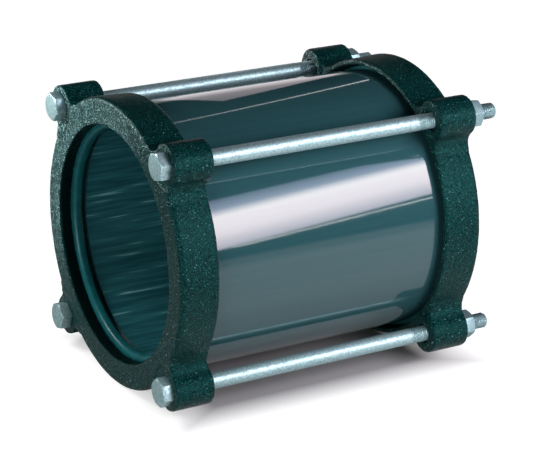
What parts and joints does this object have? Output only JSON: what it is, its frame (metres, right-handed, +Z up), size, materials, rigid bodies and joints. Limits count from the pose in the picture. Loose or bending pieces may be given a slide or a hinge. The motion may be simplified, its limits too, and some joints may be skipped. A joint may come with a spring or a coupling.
{
  "type": "pipe expansion joint",
  "caption": "Long-sleeve bolted pipe expansion joint: plain sleeve between lugged cast clamp rings with rubber lip gaskets, drawn together by long tie bolts and nuts.",
  "frame": {"origin": "on the pipe axis, halfway along the overall length from bolt heads to bolt tips", "axes": "+X along the pipe axis from the bolt heads to the nuts, +Z up, bolts at 45 degrees to the vertical"},
  "size_m": [0.2832, 0.218, 0.218],
  "materials": {
    "ring_paint": "sand-cast iron under dark green gloss paint",
    "sleeve_plastic": "extruded rigid plastic, glossy",
    "gasket_rubber": "moulded rubber, slightly glossy",
    "bolt_zinc": "bright zinc plate",
    "nut_zinc": "bright zinc plate"
  },
  "bodies": {
    "barrel": {"front_ring": "ring_paint", "sleeve": "sleeve_plastic", "front_gasket": "gasket_rubber", "rear_gasket": "gasket_rubber", "bolt_upper_left": "bolt_zinc", "bolt_upper_right": "bolt_zinc", "bolt_lower_right": "bolt_zinc", "bolt_lower_left": "bolt_zinc"},
    "rear_clamp": {"rear_ring": "ring_paint"},
    "nut_a": {"nut_upper_left": "nut_zinc"},
    "nut_b": {"nut_upper_right": "nut_zinc"},
    "nut_c": {"nut_lower_right": "nut_zinc"},
    "nut_d": {"nut_lower_left": "nut_zinc"}
  },
  "joints": [
    {"name": "rear_ring_slide", "type": "slide", "parent": "barrel", "child": "rear_clamp", "axis": [1, 0, 0], "range_m": [0, 0.007]},
    {"name": "nut_upper_left_turn", "type": "hinge", "parent": "rear_clamp", "child": "nut_a", "pos_m": [0.122, 0.08415, 0.08415], "axis": [1, 0, 0], "range_deg": [0, 1440]},
    {"name": "nut_upper_right_turn", "type": "hinge", "parent": "rear_clamp", "child": "nut_b", "pos_m": [0.122, -0.08415, 0.08415], "axis": [1, 0, 0], "range_deg": [0, 1440]},
    {"name": "nut_lower_right_turn", "type": "hinge", "parent": "rear_clamp", "child": "nut_c", "pos_m": [0.122, -0.08415, -0.08415], "axis": [1, 0, 0], "range_deg": [0, 1440]},
    {"name": "nut_lower_left_turn", "type": "hinge", "parent": "rear_clamp", "child": "nut_d", "pos_m": [0.122, 0.08415, -0.08415], "axis": [1, 0, 0], "range_deg": [0, 1440]}
  ],
  "couplings": [
    {"joint": "nut_upper_left_turn", "follows": "rear_ring_slide", "rad_per_m": 3590.4},
    {"joint": "nut_upper_right_turn", "follows": "rear_ring_slide", "rad_per_m": 3590.4},
    {"joint": "nut_lower_right_turn", "follows": "rear_ring_slide", "rad_per_m": 3590.4},
    {"joint": "nut_lower_left_turn", "follows": "rear_ring_slide", "rad_per_m": 3590.4}
  ]
}
